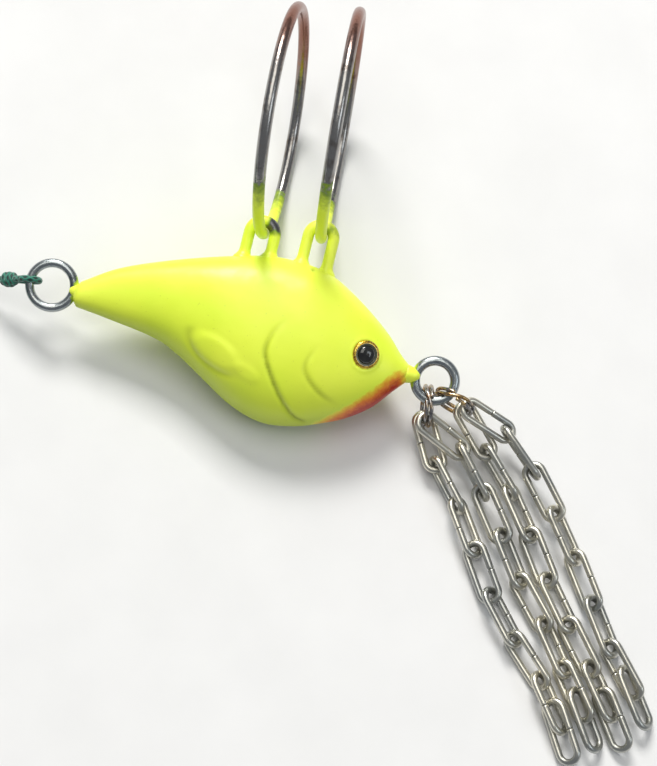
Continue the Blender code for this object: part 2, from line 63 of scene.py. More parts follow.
# Wires, as in the CAD model.
EYELETS = (("rear", -0.7, 22.7), ("front", 10.3, 24.6))
EYELET_WIRE = 2.2
EYELET_SPREAD = 4.9
TAIL_EYE = (-37.1, 10.2, 1.7)
NOSE_EYE = (37.9, 9.5, 1.9)
LINE_RING_OUTER = 45
LINE_RING_WIRE = 2.2
EYE_PLACE = (23.9, 1.5)
EYE_RADIUS = 2.65
PUPIL_RADIUS = 1.7
EYE_TURN = math.radians(20)
IRIS_STEPS = 64
PUPIL_STEPS = 48
PUPIL_RINGS = 14
PUPIL_EDGE = PUPIL_RADIUS - 0.06
LINK_WIRE = 1.42
# The wire of a link is drawn thinner than it measures, by less metal on the link's inside, so that
# neighbouring links clear at nearly all of their hinges' limits.
LINK_DRAWN_SHARE = 0.925
LINK_DRAWN = LINK_DRAWN_SHARE * LINK_WIRE
LINK_LENGTH = 12.7
LINK_WIDTH = 4.9
SPLIT_OUTER = 8.4
SPLIT_WIRE = 0.75
SPLIT_PITCH = 1.0
SPLIT_START = math.radians(100)
SPLIT_CLOSED = 0.985
# The wire steps across to its second turn between these turns.
SPLIT_STEP = (0.9, 1.1)
SPLIT_RINGS = {
    "left": (math.radians(-95), math.radians(-80), math.radians(74)),
    "right": (math.radians(-34), math.radians(-16), math.radians(48)),
}
CLEARANCE = 0.3

# Pull cord, as in the CAD model.
CORD = 1.4
KNOT_LENGTH = 3.8
COIL_CENTRE = Vector((-95, -18.8, 0))
COIL_MEAN = 36
COIL_HALF = 8.2
COIL_WAIST = 0.24
COIL_WAIST_REACH = 0.42
COIL_ROUNDING = 0.6
COIL_START = math.radians(90)
# The lead goes from outside the coil to its first turn in this many steps.
LEAD_IN_STEPS = 10
LEAD_IN_RADIUS = 26.8
LEAD_IN_HEIGHT = 0.8
STRAP_STAND_OFF = 0.62
TIE_ANGLE = math.radians(250)
CORD_ROUTE = ((-56.6, 4.9, 6.2), (-59.5, 5.0, 4.4), (-63, 5.2, 2.4), (-68, 5.5, 1.1),
              (-75, 6.4, 0.8), (-83, 7.2, 0.8), (-90, 7.8, 0.8), (-94.7, 8.0, 0.8))
CORD_TAIL_ROUTE = ((-95, -46, 0.8), (-88, -45.6, 0.8), (-81, -43, 0.8))
TURN_POINTS = 24
ROW_HEIGHT = 1.2
TURN_SPACING = 1.38

# Camera: it looks square on to the fish's flank.
CAMERA_HEIGHT = 300
CAMERA_AIM = (18.36, -5.31)
CAMERA_UP = (-0.2419, 0.9703, 0)
IMAGE_WIDTH = 657
MM_PER_PIXEL = 0.19
SENSOR = 36


def fish_frame():
    return Matrix.Translation(AXIS_PLACE) @ Matrix.Rotation(ROLL, 4, "X")


def fish(x, y, z=0.0):
    """A point of the fish's own frame, in millimetres, as a row-frame point in metres."""
    return fish_frame() @ (Vector((x, y, z)) * MM)


# ---------------------------------------------------------------- camera, floor and light


def aim(obj, place, target, up):
    back = (place - target).normalized()
    side = up.cross(back).normalized()
    turned = Matrix((side, back.cross(side), back)).transposed().to_4x4()
    obj.matrix_world = Matrix.Translation(place) @ turned


def make_camera():
    data = bpy.data.cameras.new("camera")
    data.sensor_fit = "HORIZONTAL"
    data.sensor_width = SENSOR
    data.lens = SENSOR * CAMERA_HEIGHT / (IMAGE_WIDTH * MM_PER_PIXEL)
    data.clip_start = 0.001
    camera = bpy.data.objects.new("camera", data)
    bpy.context.scene.collection.objects.link(camera)
    up = fish_frame().to_3x3() @ Vector(CAMERA_UP)
    aim(camera, fish(*CAMERA_AIM, CAMERA_HEIGHT), fish(*CAMERA_AIM), up)
    bpy.context.scene.camera = camera


def area_light(name, place, target, size, power, colour):
    data = bpy.data.lights.new(name, "AREA")
    data.shape = "RECTANGLE"
    data.size, data.size_y = size
    data.energy = power
    data.color = colour
    light = bpy.data.objects.new(name, data)
    bpy.context.scene.collection.objects.link(light)
    aim(light, Vector(place), Vector(target), Vector((0.01, 1, 0)))


def make_studio():
    bpy.context.scene.view_settings.view_transform = "Standard"
    world = bpy.data.worlds.new("studio")
    world.use_nodes = True
    background = world.node_tree.nodes["Background"]
    background.inputs["Color"].default_value = (0.90, 0.94, 1.0, 1)
    background.inputs["Strength"].default_value = 0.27
    bpy.context.scene.world = world
    middle = (0.0, 0.0, 0.01)
    area_light("key", (-0.55, 1.45, 1.40), middle, (0.85, 0.60), 47, (1.0, 0.98, 0.94))
    area_light("top", (-0.20, 0.20, 1.60), middle, (1.10, 1.10), 9.0, (1.0, 0.97, 0.90))
    area_light("fill", (1.30, -0.15, 1.30), middle, (0.70, 0.70), 4.0, (0.88, 0.95, 1.0))
    mesh = bpy.data.meshes.new("floor")
    reach = 3.0
    corners = [(-reach, -reach, 0), (reach, -reach, 0), (reach, reach, 0), (-reach, reach, 0)]
    mesh.from_pydata(corners, [], [(0, 1, 2, 3)])
    mesh.materials.append(floor_look())
    floor = bpy.data.objects.new("floor", mesh)
    bpy.context.scene.collection.objects.link(floor)


# ---------------------------------------------------------------- materials


class Look:
    """A material under construction: its nodes and its Principled shader."""

    def __init__(self, name):
        self.material = bpy.data.materials.new(name)
        self.material.use_nodes = True
        self.tree = self.material.node_tree
        self.shader = self.tree.nodes["Principled BSDF"]
        self.place = self.tree.nodes.new("ShaderNodeTexCoord").outputs["Object"]

    def put(self, socket, value):
        if isinstance(value, bpy.types.NodeSocket):
            self.tree.links.new(value, socket)
        elif isinstance(value, tuple):
            socket.default_value = (*value, 1)
        else:
            socket.default_value = value

    def set(self, **values):
        for name, value in values.items():
            self.put(self.shader.inputs[name.replace("_", " ")], value)
        return self

    def noise(self, scale, detail=2.0, roughness=0.5, place=None):
        made = self.tree.nodes.new("ShaderNodeTexNoise")
        self.put(made.inputs["Vector"], place or self.place)
        made.inputs["Scale"].default_value = scale
        made.inputs["Detail"].default_value = detail
        made.inputs["Roughness"].default_value = roughness
        return made.outputs["Fac"]

    def stretched(self, scale):
        """The place, scaled differently along each axis."""
        made = self.tree.nodes.new("ShaderNodeMapping")
        self.put(made.inputs["Vector"], self.place)
        made.inputs["Scale"].default_value = scale
        return made.outputs["Vector"]

    def cells(self, scale):
        made = self.tree.nodes.new("ShaderNodeTexVoronoi")
        self.put(made.inputs["Vector"], self.place)
        made.inputs["Scale"].default_value = scale
        return made.outputs["Distance"]

    def mask(self, name):
        made = self.tree.nodes.new("ShaderNodeAttribute")
        made.attribute_name = name
        return made.outputs["Fac"]

    def math(self, operation, first, second=0.0, clamp=False):
        made = self.tree.nodes.new("ShaderNodeMath")
        made.operation = operation
        made.use_clamp = clamp
        self.put(made.inputs[0], first)
        self.put(made.inputs[1], second)
        return made.outputs[0]

    def range(self, value, low, high, to_low=0.0, to_high=1.0):
        made = self.tree.nodes.new("ShaderNodeMapRange")
        made.interpolation_type = "SMOOTHSTEP"
        self.put(made.inputs["Value"], value)
        made.inputs["From Min"].default_value = low
        made.inputs["From Max"].default_value = high
        made.inputs["To Min"].default_value = to_low
        made.inputs["To Max"].default_value = to_high
        return made.outputs["Result"]

    def mix(self, factor, first, second):
        made = self.tree.nodes.new("ShaderNodeMix")
        made.data_type = "RGBA"
        self.put(made.inputs["Factor"], factor)
        self.put(made.inputs[6], first)
        self.put(made.inputs[7], second)
        return made.outputs[2]

    def ramp(self, factor, *stops):
        made = self.tree.nodes.new("ShaderNodeValToRGB")
        self.put(made.inputs["Fac"], factor)
        ramp = made.color_ramp
        while len(ramp.elements) < len(stops):
            ramp.elements.new(0.5)
        for element, (position, colour) in zip(ramp.elements, stops):
            element.position = position
            element.color = (*colour, 1)
        return made.outputs["Color"]

    def bump(self, height, strength, distance, after=None):
        made = self.tree.nodes.new("ShaderNodeBump")
        made.inputs["Strength"].default_value = strength
        made.inputs["Distance"].default_value = distance
        self.put(made.inputs["Height"], height)
        if after is not None:
            self.put(made.inputs["Normal"], after)
        return made.outputs["Normal"]


def floor_look():
    look = Look("floor_paper")
    grain = look.noise(60, 4)
    return look.set(
        Base_Color=look.ramp(grain, (0.3, (0.70, 0.702, 0.705)), (0.7, (0.73, 0.732, 0.735))),
        Roughness=0.9,
    ).material


def paint_colour(look):
    """Chartreuse, a little uneven in thickness."""
    drift = look.noise(45, 3)
    return look.ramp(drift, (0.32, (0.72, 0.90, 0.045)), (0.52, (0.80, 0.94, 0.060)),
                     (0.72, (0.86, 0.96, 0.090)))


def paint_look():
    """Satin chartreuse over lead: olive painted shade in the grooves and on the belly side, orange
    to red along the throat.
    """
    look = Look("chartreuse_paint")
    # Painted shade: the side facing down towards the belly is mixed towards olive.
    colour = look.mix(look.mask("under"), paint_colour(look), (0.34, 0.46, 0.010))
    # Painted shade: the cast grooves, the fin's rim, the mouth line and the blow hole are mixed
    # towards dark olive.
    colour = look.mix(look.math("MULTIPLY", look.mask("groove"), 0.85), colour, (0.34, 0.42, 0.01))
    speck = look.range(look.noise(1900, 1), 0.70, 0.78)
    colour = look.mix(look.math("MULTIPLY", speck, 0.25), colour, (0.35, 0.40, 0.03))
    spray = look.math("MULTIPLY", look.math("SUBTRACT", look.noise(900, 4, 0.7), 0.5), 0.55)
    throat = look.math("ADD", look.mask("throat"), spray, clamp=True)
    throat = look.math("MULTIPLY", throat, look.range(look.mask("throat"), 0.0, 0.12))
    orange = look.ramp(throat, (0.12, (0.80, 0.90, 0.05)), (0.38, (0.83, 0.52, 0.02)),
                       (0.62, (0.80, 0.20, 0.01)), (0.95, (0.50, 0.025, 0.005)))
    colour = look.mix(look.range(throat, 0.08, 0.3), colour, orange)
    peel = look.bump(look.noise(420, 2), 0.10, 0.0004)
    pits = look.bump(look.range(look.cells(330), 0.02, 0.10), 0.06, 0.0002, peel)
    return look.set(
        Base_Color=colour,
        Roughness=look.range(look.noise(260, 3), 0.3, 0.7, 0.36, 0.50),
        Normal=pits,
        Coat_Weight=0.12,
        Coat_Roughness=0.25,
    ).material


def painted_steel_look(name, core, tarnish, rough, heated=False):
    """Bare wire, covered where the mask "paint" rises and tinted where "browned" does."""
    look = Look(name)
    blotch = look.noise(330, 4, 0.65)
    metal = look.ramp(blotch, (0.30, tarnish[0]), (0.48, core), (0.62, core), (0.78, tarnish[1]))
    if heated:
        browned = look.math("MULTIPLY", look.mask("browned"), 0.95)
        metal = look.mix(browned, metal, (0.24, 0.085, 0.05))
    ragged = look.math("MULTIPLY", look.math("SUBTRACT", look.noise(700, 3), 0.5), 0.7)
    cover = look.math("ADD", look.mask("paint"), ragged)
    coat = look.mix(look.range(cover, 0.40, 1.0), (0.14, 0.24, 0.012), paint_colour(look))
    shown = look.range(cover, 0.36, 0.5)
    scratch = look.noise(1.0, 2, 0.6, look.stretched((2600, 2600, 500)))
    fine = look.bump(scratch, 0.10, 0.0001)
    return look.set(
        Base_Color=look.mix(shown, metal, coat),
        Metallic=look.range(shown, 0.0, 1.0, 1.0, 0.0),
        Roughness=look.range(shown, 0.0, 1.0, rough, 0.38),
        Normal=look.bump(look.math("ADD", shown, look.noise(800, 2)), 0.25, 0.0002, fine),
    ).material


def chain_look():
    """Plated steel gone dull: grey-olive painted shade inside the bows and in the seams, random
    patches of dirt, lighter plated colour elsewhere.
    """
    look = Look("chain_steel")
    patches = look.range(look.noise(330, 3, 0.6), 0.52, 0.78, 0.0, 0.45)
    # Painted shade inside the bows and in the seams, added to random darker patches of dirt.
    dirt_and_shade = look.math("MINIMUM", look.math("ADD", look.mask("bow_seam_shade"), patches), 1.0)
    clean = look.ramp(look.noise(90, 2), (0.35, (0.42, 0.43, 0.41)), (0.55, (0.62, 0.60, 0.52)),
                      (0.7, (0.70, 0.67, 0.57)))
    colour = look.mix(look.math("MULTIPLY", dirt_and_shade, 0.8), clean, (0.10, 0.10, 0.08))
    pits = look.bump(look.noise(900, 2, 0.5), 0.10, 0.00012)
    return look.set(
        Base_Color=colour,
        Metallic=look.range(dirt_and_shade, 0.2, 1.2, 1.0, 0.8),
        Roughness=look.range(dirt_and_shade, 0.0, 1.0, 0.31, 0.5),
        Normal=pits,
    ).material


def split_ring_look():
    """Thin spring wire with heat colours from gold to brown."""
    look = Look("split_ring_steel")
    heat = look.noise(260, 3, 0.6)
    colour = look.ramp(heat, (0.30, (0.10, 0.10, 0.11)), (0.44, (0.36, 0.35, 0.35)),
                       (0.56, (0.48, 0.32, 0.14)), (0.72, (0.22, 0.11, 0.05)))
    return look.set(
        Base_Color=colour,
        Metallic=1.0,
        Roughness=look.range(look.noise(900, 2), 0.3, 0.7, 0.16, 0.30),
        Normal=look.bump(look.noise(1.0, 2, 0.6, look.stretched((2400, 600, 2400))), 0.12, 0.0001),
    ).material


def iris_look():
    """Gold foil at the rim, falling to smoky olive where it goes under the pupil's edge."""
    look = Look("iris_foil")
    crackle = look.noise(2600, 3, 0.7)
    foil = look.ramp(crackle, (0.32, (0.22, 0.07, 0.005)), (0.5, (0.62, 0.36, 0.02)),
                     (0.68, (0.80, 0.62, 0.10)))
    rim = look.math("ADD", look.mask("rim"), look.math("MULTIPLY", crackle, 0.12))
    colour = look.mix(look.range(rim, 0.42, 0.62), (0.075, 0.08, 0.045), foil)
    return look.set(
        Base_Color=colour,
        Metallic=look.range(rim, 0.42, 0.62, 0.2, 0.9),
        Roughness=look.range(crackle, 0.3, 0.7, 0.18, 0.35),
        Normal=look.bump(crackle, 0.3, 0.0001),
        Coat_Weight=0.8,
        Coat_Roughness=0.06,
    ).material


def pupil_look():
    look = Look("pupil_gloss")
    haze = look.noise(700, 3)
    return look.set(
        Base_Color=look.ramp(haze, (0.35, (0.004, 0.004, 0.004)), (0.7, (0.016, 0.018, 0.016))),
        Roughness=look.range(haze, 0.3, 0.7, 0.05, 0.16),
        Coat_Weight=0.6,
        Coat_Roughness=0.04,
    ).material


def cord_look():
    """Tight round braid: two families of strands crossing, read from the cord's own UVs."""
    look = Look("cord_green")
    uv = look.tree.nodes.new("ShaderNodeUVMap")
    uv.uv_map = "braid"
    split = look.tree.nodes.new("ShaderNodeSeparateXYZ")
    look.put(split.inputs["Vector"], uv.outputs["UV"])
    along, around = split.outputs["X"], split.outputs["Y"]
    strands = []
    for lean in (4, -4):
        turn = look.math("ADD", along, look.math("MULTIPLY", around, lean))
        strands.append(look.math("SINE", look.math("MULTIPLY", turn, 2 * math.pi)))
    weave = look.math("MAXIMUM", strands[0], strands[1])
    fibre = look.noise(2600, 3, 0.7)
    shade = look.math("ADD", look.range(weave, -0.4, 1.0), look.math("MULTIPLY", fibre, 0.4))
    colour = look.ramp(shade, (0.15, (0.001, 0.012, 0.010)), (0.7, (0.006, 0.085, 0.062)),
                       (1.0, (0.02, 0.19, 0.13)))
    return look.set(
        Base_Color=colour,
        Roughness=look.range(fibre, 0.3, 0.7, 0.55, 0.8),
        Normal=look.bump(shade, 0.6, 0.00025),
        Sheen_Weight=0.3,
    ).material


def tie_look():
    look = Look("tie_black")
    ribs = look.noise(1.0, 1, 0.5, look.stretched((900, 900, 3200)))
    return look.set(
        Base_Color=look.ramp(ribs, (0.35, (0.008, 0.008, 0.009)), (0.7, (0.035, 0.035, 0.037))),
        Roughness=look.range(ribs, 0.3, 0.7, 0.5, 0.75),
        Normal=look.bump(ribs, 0.5, 0.0002),
    ).material


# ---------------------------------------------------------------- shape helpers


def smooth_curve(points, per_span):
    """Points on a Catmull-Rom curve through the given points."""
    points = [Vector(p) for p in points]
    ends = [2 * points[0] - points[1], *points, 2 * points[-1] - points[-2]]
    found = []
    for i in range(len(points) - 1):
        p0, p1, p2, p3 = ends[i : i + 4]
        for step in range(per_span):
            t = step / per_span
            found.append(
                0.5 * (2 * p1 + (p2 - p0) * t + (2 * p0 - 5 * p1 + 4 * p2 - p3) * t**2
                       + (3 * p1 - p0 - 3 * p2 + p3) * t**3)
            )
    return [*found, points[-1]]


def outline_at(outline, x):
    """Heights of a smooth outline at an array of lengths, all in millimetres."""
    curve = np.array([(p.x, p.y) for p in smooth_curve([(a, b, 0) for a, b in outline], 12)])
    return np.interp(x, curve[:, 0], curve[:, 1])


def smoothstep(value, low, high):
    t = np.clip((value - low) / (high - low), 0, 1)
    return t * t * (3 - 2 * t)


def grid_faces(rows, columns, close_rows=False):
    """Quads of a grid whose columns wrap round, and whose rows may."""
    faces = []
    for i in range(rows if close_rows else rows - 1):
        upper = (i + 1) % rows
        for k in range(columns):
            after = (k + 1) % columns
            faces.append((i * columns + k, i * columns + after,
                          upper * columns + after, upper * columns + k))
    return faces


def make_piece(name, points, faces, look, masks=None):
    """A smooth mesh object from points in metres, with named values on its points."""
    mesh = bpy.data.meshes.new(name)
    mesh.from_pydata(np.asarray(points).reshape(-1, 3).tolist(), [], faces)
    mesh.shade_smooth()
    for mask, values in (masks or {}).items():
        layer = mesh.attributes.new(mask, "FLOAT", "POINT")
        layer.data.foreach_set("value", np.asarray(values, np.float32).ravel())
    mesh.materials.append(look)
    obj = bpy.data.objects.new(name, mesh)
    bpy.context.scene.collection.objects.link(obj)
    return obj


def stand_for(obj, body, slot, *nodes):
    """The piece rides on its body and takes the place of these CAD nodes."""
    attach(obj, body)
    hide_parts(*nodes)
    return obj


def tube_points(path, radii, sides, closed=False):
    """Rings of points round a path, shape (stations, sides, 3), without twist."""
    path = np.asarray([tuple(p) for p in path], float)
    count = len(path)
    radii = np.broadcast_to(radii, (count,))
    if closed:
        tangents = np.roll(path, -1, 0) - np.roll(path, 1, 0)
    else:
        tangents = np.gradient(path, axis=0)
    tangents /= np.linalg.norm(tangents, axis=1)[:, None]
    side = np.array(Vector(tangents[0]).orthogonal().normalized())
    sides_along = []
    for tangent in tangents:
        side = side - tangent * (side @ tangent)
        side /= np.linalg.norm(side)
        sides_along.append(side)
    twist = 0.0
    if closed:
        last = side - tangents[0] * (side @ tangents[0])
        first = sides_along[0]
        twist = math.atan2(np.cross(first, last) @ tangents[0], first @ last)
    rings = []
    for i, (point, tangent, side) in enumerate(zip(path, tangents, sides_along)):
        up = np.cross(tangent, side)
        turns = 2 * np.pi * np.arange(sides) / sides - twist * i / count
        ring = np.cos(turns)[:, None] * side + np.sin(turns)[:, None] * up
        rings.append(point + radii[i] * ring)
    return np.array(rings)


def tube(name, path, radii, sides, look, closed=False, masks=None):
    """A round tube with flat ends, or a closed one. masks reads its points, ring by ring."""
    rings = tube_points(path, radii, sides, closed)
    faces = grid_faces(len(rings), sides, closed)
    if not closed:
        last = (len(rings) - 1) * sides
        faces.append(tuple(reversed(range(sides))))
        faces.append(tuple(range(last, last + sides)))
    return make_piece(name, rings, faces, look, masks(rings) if masks else None)


def distance_to(points, x, y):
    """How far each (x, y) is from a curve through these points, and how far along it is nearest."""
    curve = np.array([tuple(p)[:2] for p in smooth_curve([(a, b, 0) for a, b in points], 14)])
    gaps = np.hypot(x[..., None] - curve[:, 0], y[..., None] - curve[:, 1])
    nearest = gaps.argmin(-1)
    ahead = np.gradient(curve, axis=0)[nearest]
    offset = np.stack([x, y], -1) - curve[nearest]
    left = np.sign(ahead[..., 0] * offset[..., 1] - ahead[..., 1] * offset[..., 0])
    return gaps.min(-1), nearest / (len(curve) - 1), left


def box_axes(node):
    """The middle of a CAD node's points, and its long, middle and short directions."""
    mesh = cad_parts[node].data
    points = np.unique(np.round([tuple(v.co) for v in mesh.vertices], 6), axis=0)
    middle = points.mean(0)
    directions = np.linalg.svd(points - middle, full_matrices=False)[2]
    directions[2] = np.cross(directions[0], directions[1])
    return middle, directions


# ---------------------------------------------------------------- the painted fish


def relief(x, y):
    """How far the flank stands out, in millimetres, and how deep in a groove each point is."""
    gap, along, left = distance_to(GILL, x, y)
    fade = smoothstep(along, 0.0, 0.5) * (1 - smoothstep(along, 0.88, 1.0))
    gill = np.exp(-((gap / GROOVE_WIDTH) ** 2)) * fade
    plate = np.where(left > 0, np.exp(-gap / 2.4), 0) * fade
    height = 0.28 * plate - 0.42 * gill
    gap, along, left = distance_to(CHEEK, x, y)
    fade = smoothstep(along, 0.0, 0.4) * (1 - smoothstep(along, 0.75, 1.0))
    cheek = np.exp(-((gap / GROOVE_WIDTH) ** 2)) * fade
    height += 0.14 * np.where(left > 0, np.exp(-gap / 1.8), 0) * fade - 0.21 * cheek
    gap, along, left = distance_to(MOUTH, x, y)
    mouth = np.exp(-((gap / 0.3) ** 2)) * (1 - smoothstep(along, 0.6, 1.0))
    height -= 0.12 * mouth
    oval, rim = fin_oval(x, y)
    height += 0.26 * oval - 0.20 * rim
    second, _ = fin_oval(x - 6.4, y + 2.4, 0.55)
    height += 0.12 * second
    pit = np.exp(-((np.hypot(x - PIT[0], y - PIT[1]) / 0.38) ** 2))
    height -= 0.45 * pit
    # How deep in a groove each point is, which the paint turns into painted shade.
    groove = np.clip(0.9 * gill + 0.55 * cheek + 0.5 * mouth + 0.35 * rim + pit, 0, 1)
    return height, groove


def fin_oval(x, y, size=1.0):
    """The raised pectoral fin: an oval, and the groove along its lower rear edge."""
    start, end = np.array(FIN_ENDS[0]), np.array(FIN_ENDS[1])
    middle, half = (start + end) / 2, np.linalg.norm(end - start) / 2 * size
    ahead = (end - start) / np.linalg.norm(end - start)
    u = (x - middle[0]) * ahead[0] + (y - middle[1]) * ahead[1]
    v = -(x - middle[0]) * ahead[1] + (y - middle[1]) * ahead[0]
    out = np.hypot(u / half, v / (FIN_HALF_WIDTH * size))
    oval = 1 - smoothstep(out, 0.55, 1.05)
    lower = smoothstep(-(v / FIN_HALF_WIDTH) - 0.55 * u / half, -0.1, 0.8)
    rim = np.exp(-(((out - 1.0) * FIN_HALF_WIDTH / 0.42) ** 2)) * lower
    return oval, rim


def eye_frame(side):
    out = Vector((math.sin(EYE_TURN), 0, side * math.cos(EYE_TURN)))
    wide = float(outline_at(HALF_THICKNESS, EYE_PLACE[0]))
    spot = Vector((*EYE_PLACE, side * wide)) * MM
    facing = out.to_track_quat("Z", "Y").to_matrix().to_4x4()
    return fish_frame() @ Matrix.Translation(spot) @ facing


def throat_mask(x, y):
    """Red along the lower jaw, widest near the nose and gone by the gill."""
    above = y - outline_at(BELLY, x)
    width = np.interp(x, (THROAT_START, 20, 24, 29, 32.6), (0.3, 1.8, 3.5, 5.0, 3.6))
    strength = np.interp(x, (THROAT_START, 20, 25, 30.8, 32.2), (0.0, 0.55, 1.0, 1.0, 0.35))
    return np.clip(1.15 - above / width, 0, 1) * strength


def fish_body():
    stations, sides = BODY_STATIONS, BODY_SIDES
    start, end = BACK[0][0], BACK[-1][0]
    t = np.arange(stations) / (stations - 1)
    x = start + (end - start) * np.sin(np.pi / 2 * t) ** 0.9
    back, belly, wide = (outline_at(o, x) for o in (BACK, BELLY, HALF_THICKNESS))
    turns = 2 * np.pi * (np.arange(sides) + 0.5) / sides
    c, s = np.cos(turns), np.sin(turns)
    rise = np.copysign(np.abs(s) ** SECTION_FULLNESS, s)
    spread = np.copysign(np.abs(c) ** SECTION_FULLNESS, c)
    y = ((back + belly) / 2)[:, None] + ((back - belly) / 2)[:, None] * rise
    z = wide[:, None] * spread
    points = np.stack([np.broadcast_to(x[:, None], y.shape), y, z], -1)
    caps = []
    for row, outward, cap in ((points[0], -1, TAIL_CAP), (points[-1], 1, NOSE_CAP)):
        centre = row.mean(0)
        for share, out in cap:
            ring = centre + (row - centre) * share
            ring[:, 0] += outward * out
            caps.append(ring)
    tail, nose = caps[: len(TAIL_CAP)], caps[len(TAIL_CAP) :]
    points = np.concatenate([np.array(tail[::-1]), points, np.array(nose)])
    across = np.roll(points, -1, 1) - np.roll(points, 1, 1)
    ahead = np.gradient(points, axis=0)
    normal = np.cross(across, ahead)
    normal /= np.linalg.norm(normal, axis=2)[..., None]
    if (normal[..., 2] * points[..., 2]).sum() < 0:
        normal = -normal
    height, groove = relief(points[..., 0], points[..., 1])
    flank = smoothstep(np.abs(normal[..., 2]), 0.05, 0.35)
    points = points + normal * (height * flank)[..., None]
    throat = throat_mask(points[..., 0], points[..., 1])
    # Painted shade: how far each point faces down towards the belly, up to 0.55.
    under = 0.55 * smoothstep(-normal[..., 1], 0.25, 0.9)
    world = points * MM @ np.array(fish_frame().to_3x3()).T + np.array(AXIS_PLACE)
    world = sink_eyes(world)
    world[..., 2] = np.maximum(world[..., 2], 0)
    rows = len(world)
    faces = grid_faces(rows, sides)
    faces.append(tuple(reversed(range(sides))))
    faces.append(tuple(range((rows - 1) * sides, rows * sides)))
    # The groove and under masks carry painted shade into the paint; throat carries the red paint.
    masks = {"groove": groove * flank, "throat": throat, "under": under}
    body = make_piece("fish_body", world, faces, LOOKS["paint"], masks)
    stand_for(body, "root", "chartreuse_paint", "cast_body")


def sink_eyes(world):
    """Presses a shallow seat under each eye, with a soft lip of paint round it."""
    for side in (1, -1):
        place = eye_frame(side)
        local = (world - np.array(place.translation)) @ np.array(place.to_3x3())
        reach = np.hypot(local[..., 0], local[..., 1]) / MM
        near = np.abs(local[..., 2]) < 3 * MM
        seat = -0.75 * (1 - smoothstep(reach, EYE_RADIUS - 0.45, EYE_RADIUS - 0.05))
        lip = 0.10 * np.exp(-(((reach - EYE_RADIUS - 0.35) / 0.3) ** 2))
        move = np.where(near, (seat + lip) * MM, 0)
        world = world + move[..., None] * np.array(place.col[2][:3])
    return world


def fish_eyes():
    for side, hand in ((1, "right"), (-1, "left")):
        place = eye_frame(side)
        inner, outer = PUPIL_RADIUS - 0.05, EYE_RADIUS
        outline = ((inner, -0.7), (outer - 0.1, -0.7), (outer, -0.25), (outer, 0.0),
                   (outer - 0.10, 0.14), (outer - 0.28, 0.24), (outer - 0.45, 0.29),
                   (outer - 0.6, 0.27), (outer - 0.8, 0.22), (inner, 0.20))
        rim = [0, 1, 1, 1, 1, 1, 0.7, 0.1, 0, 0]
        points, values = turned(outline, IRIS_STEPS, place), np.tile(rim, IRIS_STEPS)
        faces = grid_faces(IRIS_STEPS, len(outline), True)
        iris = make_piece(f"iris_foil_{hand}", points, faces, LOOKS["iris"], {"rim": values})
        stand_for(iris, "root", "iris_foil", f"iris_{hand}")
        dome = [(PUPIL_RADIUS - 0.12, -0.65), (PUPIL_EDGE, 0.22)]
        for k in range(PUPIL_RINGS):
            a = math.pi / 2 * k / PUPIL_RINGS
            dome.append((PUPIL_EDGE * math.cos(a), 0.26 + 0.6 * math.sin(a)))
        points = turned(dome, PUPIL_STEPS, place)
        top = np.array(place @ (Vector((0, 0, 0.86)) * MM))
        faces = grid_faces(PUPIL_STEPS, len(dome), True)
        faces = [f for f in faces if f[0] % len(dome) != len(dome) - 1]
        points = np.concatenate([points.reshape(-1, 3), top[None]])
        tip = len(points) - 1
        ring = [k * len(dome) + len(dome) - 1 for k in range(PUPIL_STEPS)]
        faces += [(ring[k], ring[(k + 1) % PUPIL_STEPS], tip) for k in range(PUPIL_STEPS)]
        faces.append(tuple(k * len(dome) for k in reversed(range(PUPIL_STEPS))))
        pupil = make_piece(f"pupil_dome_{hand}", points, faces, LOOKS["pupil"])
        stand_for(pupil, "root", "pupil_gloss", f"pupil_{hand}")


def turned(outline, steps, place):
    """Points of an outline of (radius, height) in millimetres turned about a frame's Z."""
    loops = []
    for k in range(steps):
        a = 2 * math.pi * k / steps
        loops.append([tuple(place @ (Vector((r * math.cos(a), r * math.sin(a), z)) * MM))
                      for r, z in outline])
    return np.array(loops)


# ---------------------------------------------------------------- wires


def to_fish(points):
    """Row-frame points back in the fish's own frame, in millimetres."""
    turn = np.array(fish_frame().to_3x3())
    return (points - np.array(AXIS_PLACE)) @ turn / MM


def wire_eye(name, centre, outer, wire, inward):
    """A bent wire eye whose body side is creeping with paint."""
    mean = (outer - wire) / 2
    steps = 120
    path = [fish(centre + mean * math.cos(a), mean * math.sin(a))
            for a in (2 * math.pi * k / steps for k in range(steps))]

    def masks(rings):
        local = to_fish(rings)
        toward = (local[..., 0] - centre) * inward / (outer / 2)
        return {"paint": 0.1 + smoothstep(toward, 0.62, 1.15)}

    eye = tube(f"{name}_wire", path, wire / 2 * MM, 20, LOOKS["eye"], True, masks)
    stand_for(eye, "root", "eye_wire_steel", name)
    # The shank's paint collar, flared onto the casting and onto the eye.
    begin = centre + inward * (outer / 2 - wire * 0.75)
    reach = [-0.40, -0.30, -0.10, 0.15, 0.5, 1.0, 1.5, 2.0, 2.6]
    flare = [0.15, 0.36, 0.52, 0.64, 0.74, 0.81, 0.86, 0.92, 0.98]
    path = [fish(begin + inward * r, 0) for r in reach]
    collar = tube(f"{name}_collar", path, np.array(flare) * wire * MM, 24, LOOKS["eye"], False,
                  lambda rings: {"paint": np.full(rings.shape[:2], 1.2)})
    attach(collar, "root")


